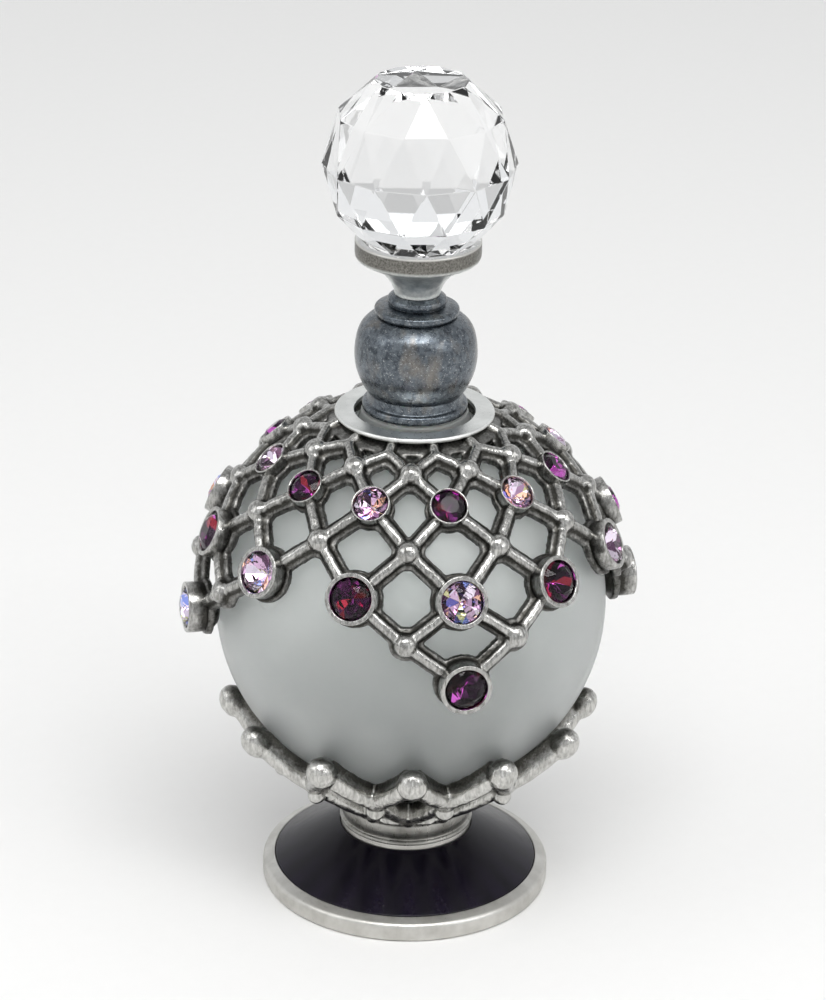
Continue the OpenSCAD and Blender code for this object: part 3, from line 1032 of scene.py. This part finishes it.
def build_stones(glass, foil):
    slots = {part["node"]: part["material_slot"] for part in frame["record"]["subparts"]}
    chance = np.random.default_rng(7)
    for node in sorted(n for n in frame["nodes"] if "_stone_" in n):
        row = SMALL_ROW if node.startswith("small") else LARGE_ROW
        tint = slots[node]
        made = brilliant(node + "_gem", STONE_R[row], int(chance.integers(1000)))
        place_stone(made, node, STONE_R[row], chance.uniform(0, TURN / 8))
        dress(made, "bottle", [glass[tint], foil[tint]], tint, node)


# ---- glass and collar ----


def arc_points(radius, first, last, count):
    """Corners along a circle round the globe's centre, by tilt from +Z."""
    tilts = np.linspace(first, last, count)
    return [(radius * math.sin(t), GLOBE_Z + radius * math.cos(t), 9.0) for t in tilts]


def build_globe(finish):
    inner_r = GLOBE_R - GLASS_WALL
    neck_root = NECK_R + 0.6
    root_tilt = math.asin(neck_root / GLOBE_R)
    bore_tilt = math.asin(NECK_BORE / inner_r)
    near_pole = math.pi - 0.08
    outline = [(0, GLOBE_Z - GLOBE_R, 0)]
    outline += arc_points(GLOBE_R, near_pole, root_tilt + 0.03, 40)
    outline += [
        (neck_root, GLOBE_Z + GLOBE_R * math.cos(root_tilt), 0.6),
        (NECK_R, GLOBE_Z + 24, 0.6),
        (NECK_R, MOUTH_Z, 0.45),
        (NECK_BORE, MOUTH_Z, 0.3),
    ]
    outline += arc_points(inner_r, bore_tilt, near_pole, 36)
    outline.append((0, GLOBE_Z - inner_r, 0))
    made = turned("frosted_bottle", outline, 192, 3)
    dress(made, "bottle", finish, "frosted_glass", "glass_bottle", "glass_neck")


def build_collar(finish):
    low, high = COLLAR_LOW.z, COLLAR_HIGH.z
    inner, outer = 7.1, COLLAR_HIGH.x
    outline = [
        (inner, low, 0.08),
        (outer - 0.1, low, 0.12),
        (outer, (low + high) / 2, 0.2),
        (outer - 0.15, high, 0.14),
        (inner, high, 0.12),
    ]
    dress(turned("collar_ring", outline, 160), "bottle", finish, "pewter", "neck_collar")


# ---- stopper ----


def build_bulb(finish):
    waist = MOUTH_Z + 2.05
    middle = MOUTH_Z + 7.3
    top = MOUTH_Z + 12.1
    outline = [
        (0, PLUG_TOP + 0.3, 0),
        (STEM_R + 0.05, PLUG_TOP + 0.3, 0),
        (STEM_R + 0.05, FLANGE_TOP + 0.05, 0),
        (FLANGE_R + 0.15, FLANGE_TOP + 0.05, 0),
        (FLANGE_R + 0.15, BASE_Z, 0.08),
        (6.15, BASE_Z, 0.35),
        (6.18, BASE_Z + 0.95, 0.4),
        (5.62, BASE_Z + 1.15, 0.15),
        (5.5, waist - 0.1, 0.5),
        (5.52, waist + 0.35, 0.25),
        (5.95, waist + 0.75, 0.6),
        (6.95, middle - 2.4, 9),
        (BULB_R + 0.15, middle, 9),
        (6.75, middle + 2.9, 9),
        (5.3, top - 0.55, 0.7),
        (4.55, top - 0.25, 0.12),
        (4.9, top - 0.15, 0.3),
        (4.95, top + 0.6, 0.35),
        (4.3, top + 0.78, 0.3),
        (3.15, top + 0.95, 0.15),
        (3.4, top + 1.1, 0.25),
        (3.45, top + 1.75, 0.3),
        (3.0, NECK_LOW - 0.1, 0.2),
        (2.75, NECK_LOW, 0.05),
        (PIN_R, NECK_LOW, 0),
        (PIN_R, NECK_LOW - 5, 0),
        (0, NECK_LOW - 5, 0),
    ]
    dress(turned("bulb_casting", outline, 160, 7), "stopper", finish, "blued_pewter", "stopper_bulb")


def build_dish(finish, cement):
    outline = [
        (0, NECK_LOW + 4, 0),
        (PIN_R, NECK_LOW + 4, 0),
        (PIN_R, NECK_LOW, 0),
        (2.66, NECK_LOW, 0.1),
        (2.72, NECK_LOW + 0.55, 0.5),
        (3.25, NECK_LOW + 1.75, 1.2),
        (4.35, NECK_LOW + 3.0, 1.6),
        (6.2, NECK_LOW + 4.05, 1.2),
        (DISH_R - 0.1, NECK_LOW + 4.5, 0.35),
        (DISH_R, NECK_LOW + 5.0, 0.3),
        (DISH_R, DISH_TOP, 0.22),
        (6.7, DISH_TOP, 0),
        (0, DISH_TOP, 0),
    ]
    made = turned("dish_casting", outline, 160, 6)
    under_ball = (DISH_TOP - 0.01) * MM
    for polygon in made.data.polygons:
        if min(made.data.vertices[i].co.z for i in polygon.vertices) > under_ball:
            polygon.material_index = 1
    dress(made, "stopper", [finish, cement], "dark_pewter", "finial_dish")


def build_ball(finish):
    """The cut ball: its CAD facets, with very slightly broken edges."""
    made = bpy.data.objects.new("cut_ball", frame["nodes"]["crystal_ball"].data.copy())
    bpy.context.scene.collection.objects.link(made)
    made.data.materials.clear()
    shape = bmesh.new()
    shape.from_mesh(made.data)
    bmesh.ops.remove_doubles(shape, verts=shape.verts, dist=1e-6)
    bmesh.ops.dissolve_limit(shape, angle_limit=0.002, verts=shape.verts, edges=shape.edges)
    broken_edge = 0.06 * MM
    bmesh.ops.bevel(shape, geom=shape.edges[:], offset=broken_edge, segments=1, affect="EDGES")
    bmesh.ops.recalc_face_normals(shape, faces=shape.faces)
    shape.to_mesh(made.data)
    shape.free()
    made.data.shade_flat()
    dress(made, "stopper", finish, "crystal", "crystal_ball")


def build_plug(finish):
    plug_r = NECK_BORE - 0.05
    core_r = plug_r - 0.35
    outline = [
        (0, PLUG_BOTTOM + 8, 0),
        (ROD_R, PLUG_BOTTOM + 8, 0),
        (ROD_R, PLUG_BOTTOM, 0.15),
        (plug_r - 0.7, PLUG_BOTTOM, 0.3),
        (core_r, PLUG_BOTTOM + 0.8, 0.2),
    ]
    for i in range(3):
        low = PLUG_BOTTOM + 1.8 + 1.9 * i
        outline += [(core_r, low, 0.1), (plug_r, low + 0.1, 0.25), (plug_r, low + 0.7, 0.25)]
        outline.append((core_r, low + 0.8, 0.1))
    outline += [
        (core_r, MOUTH_Z + 0.05, 0.1),
        (FLANGE_R, MOUTH_Z + 0.05, 0.2),
        (FLANGE_R, FLANGE_TOP, 0.2),
        (STEM_R, FLANGE_TOP, 0.15),
        (STEM_R, PLUG_TOP, 0.4),
        (0, PLUG_TOP, 0),
    ]
    dress(turned("ribbed_plug", outline, 96, 3), "plug", finish, "plug_plastic", "neck_plug")


def build_rod(finish):
    tip_r = ROD_R + 0.4
    outline = [
        (0, ROD_TIP, 0),
        (tip_r, ROD_TIP, 1.4),
        (tip_r, ROD_TIP + 3.2, 1.6),
        (ROD_R, ROD_TIP + 4.6, 1.6),
        (ROD_R, ROD_TOP, 0.15),
        (0, ROD_TOP, 0),
    ]
    dress(turned("glass_dauber", outline, 64, 8), "plug", finish, "clear_glass", "dauber_rod")


# ---- stage ----

CAMERA_AZIMUTH = math.radians(-13.91)
CAMERA_ELEVATION = math.radians(24.07)
CAMERA_ROLL = math.radians(1.27)
CAMERA_LENS = 128.35  # on a 36 mm frame


def build_camera():
    height = (CAD_BOX[1].z - CAD_BOX[0].z) / MM
    target = Vector((0.03, 0, 0.4916 * height))
    distance = 4.142 * height
    back = heading(math.pi / 2 - CAMERA_ELEVATION, CAMERA_AZIMUTH)
    lens = bpy.data.cameras.new("camera")
    lens.lens = CAMERA_LENS
    lens.sensor_width = 36
    camera = bpy.data.objects.new("camera", lens)
    turn = (-back).to_track_quat("-Z", "Y").to_matrix() @ Matrix.Rotation(CAMERA_ROLL, 3, "Z")
    camera.matrix_world = Matrix.Translation((target + back * distance) * MM) @ turn.to_4x4()
    bpy.context.scene.collection.objects.link(camera)
    bpy.context.scene.camera = camera


def add_light(name, azimuth, elevation, distance, width, height, power):
    """A soft panel that faces the object, in degrees, metres and watts.

    Azimuth 0 is on the camera's side, and positive is to the right.
    """
    out = heading(math.radians(90 - elevation), math.radians(azimuth) + CAMERA_AZIMUTH)
    panel = bpy.data.lights.new(name, "AREA")
    panel.shape = "RECTANGLE"
    panel.size = width
    panel.size_y = height
    panel.energy = power
    light = bpy.data.objects.new(name, panel)
    where = out * distance + Vector((0, 0, 0.05))
    light.matrix_world = Matrix.Translation(where) @ (-out).to_track_quat("-Z", "Y").to_matrix().to_4x4()
    light.visible_camera = False
    bpy.context.scene.collection.objects.link(light)


def build_floor():
    vertices, faces = turned_mesh([(0, -0.02, 0), (3000, -0.02, 0), (3000, -5, 0), (0, -5, 0)], 96)
    floor = make_object("floor", vertices, faces)
    finish = Finish("floor paper", {"Roughness": 0.75, "Specular IOR Level": 0.2})
    fibres = finish.noise(2.0, 4)
    tone = finish.blend(fibres, rgb(0.84, 0.835, 0.825), rgb(0.86, 0.855, 0.845))
    floor.data.materials.append(finish.set(Base_Color=tone, Normal=finish.bump(fibres, 0.02)))


def build_world():
    """Pale surroundings, brightest near the horizon, so that flat tops reflect something light."""
    world = bpy.data.worlds.new("studio")
    world.use_nodes = True
    tree = world.node_tree
    place = tree.nodes.new("ShaderNodeTexCoord")
    axes = tree.nodes.new("ShaderNodeSeparateXYZ")
    ramp = tree.nodes.new("ShaderNodeValToRGB")
    tree.links.new(place.outputs["Generated"], axes.inputs["Vector"])
    tree.links.new(axes.outputs["Z"], ramp.inputs["Fac"])
    tree.links.new(ramp.outputs["Color"], tree.nodes["Background"].inputs["Color"])
    horizon, zenith = ramp.color_ramp.elements
    horizon.position = 0.42
    horizon.color = rgb(0.82, 0.83, 0.84)
    zenith.position = 0.75
    zenith.color = rgb(0.53, 0.535, 0.54)
    bpy.context.scene.world = world
    bpy.context.scene.view_settings.view_transform = "Standard"


def build_lights():
    panels = [  # name, azimuth, elevation, distance, width, height, power
        ("left panel", -68, 36, 0.85, 0.45, 0.6, 1.0),
        ("right panel", 64, 34, 0.85, 0.40, 0.6, 0.9),
        ("top panel", 20, 84, 1.2, 1.8, 1.8, 0.9),
        ("key panel", 6, 63, 0.8, 0.58, 0.31, 3.3),
        ("right spark", 48, 30, 0.8, 0.05, 0.05, 0.2),
    ]
    for panel in panels:
        add_light(*panel)


# ---- the object ----

SATIN = pewter("satin pewter", rgb(0.64, 0.63, 0.60), rgb(0.48, 0.47, 0.44), 0.34)
# Painted light: the foot's pewter, painted lighter on the collar.
COLLAR_PEWTER_PAINTED_LIGHT = pewter("collar pewter painted lighter", rgb(0.88, 0.89, 0.87), rgb(0.70, 0.71, 0.69), 0.32)
# Painted shade: the foot's pewter, painted darker on the band that sits in shade under the globe. Its
# brushed streaks are real and cut deeper.
BRUSHED_PEWTER_PAINTED_SHADE = pewter("brushed pewter painted darker", rgb(0.42, 0.412, 0.39), rgb(0.20, 0.196, 0.18), 0.3, 0.02)
NET_FINISH = antique_pewter(
    "net pewter",
    low_tone=rgb(0.03, 0.029, 0.026),
    bright_low=rgb(0.22, 0.217, 0.205),
    bright_high=rgb(0.62, 0.615, 0.595),
    wear_from=0.12,
    wear_to=1.0,
    scratch=0.015,
)
BASKET_FINISH = antique_pewter(
    "basket pewter",
    low_tone=rgb(0.06, 0.058, 0.052),
    bright_low=rgb(0.34, 0.335, 0.315),
    bright_high=rgb(0.72, 0.715, 0.69),
    wear_from=0.08,
    wear_to=0.95,
    scratch=0.03,
)
GEM_GLASS = {
    "dark_amethyst": gem_glass("dark gem", rgb(0.85, 0.50, 0.85)),
    "light_amethyst": gem_glass("light gem", rgb(0.93, 0.84, 0.97)),
}
# Foil colours, one per facet at random. Dark stones: their own near-black purple, with painted magenta
# glints and lighter facets. Light stones: their own pale violet, with painted white glints, painted
# orange, blue and green fire, and painted dark facets.
GEM_FOIL_PAINTED_GLINTS = {
    "dark_amethyst": gem_foil_painted_glints("dark foil painted glints", [
        (0.02, 0.004, 0.02), (0.13, 0.03, 0.12), (0.008, 0.002, 0.008), (1.0, 0.35, 0.95),
        (0.012, 0.003, 0.012), (0.30, 0.07, 0.27), (0.01, 0.003, 0.01), (0.06, 0.015, 0.055),
        (0.34, 0.045, 0.05), (0.012, 0.003, 0.012), (0.75, 0.22, 0.68), (0.03, 0.008, 0.028),
    ]),
    "light_amethyst": gem_foil_painted_glints("light foil painted glints", [
        (0.70, 0.52, 0.66), (0.98, 0.95, 0.98), (0.06, 0.03, 0.055), (0.95, 0.90, 0.96),
        (0.24, 0.12, 0.20), (0.90, 0.72, 0.84), (0.96, 0.62, 0.40), (0.12, 0.06, 0.11),
        (0.98, 0.96, 0.99), (0.60, 0.42, 0.56), (0.30, 0.42, 0.90), (0.80, 0.88, 0.40),
    ]),
}

build_camera()
build_foot(SATIN)
build_enamel(enamel())
build_band(BRUSHED_PEWTER_PAINTED_SHADE)
build_basket(BASKET_FINISH)
build_globe(frosted_glass())
build_net(NET_FINISH)
build_bezels(NET_FINISH)
build_collar(COLLAR_PEWTER_PAINTED_LIGHT)
build_stones(GEM_GLASS, GEM_FOIL_PAINTED_GLINTS)
build_plug(plug_plastic())
build_rod(clear_glass("rod glass", rgb(0.93, 0.96, 0.95)))
build_bulb(blued_pewter())
build_dish(dish_pewter(), clear_cement())
build_ball(crystal())
pin = frame["nodes"]["finial_pin"]
pin.data.materials.clear()
pin.data.materials.append(drawn_wire())
build_floor()
build_world()
build_lights()
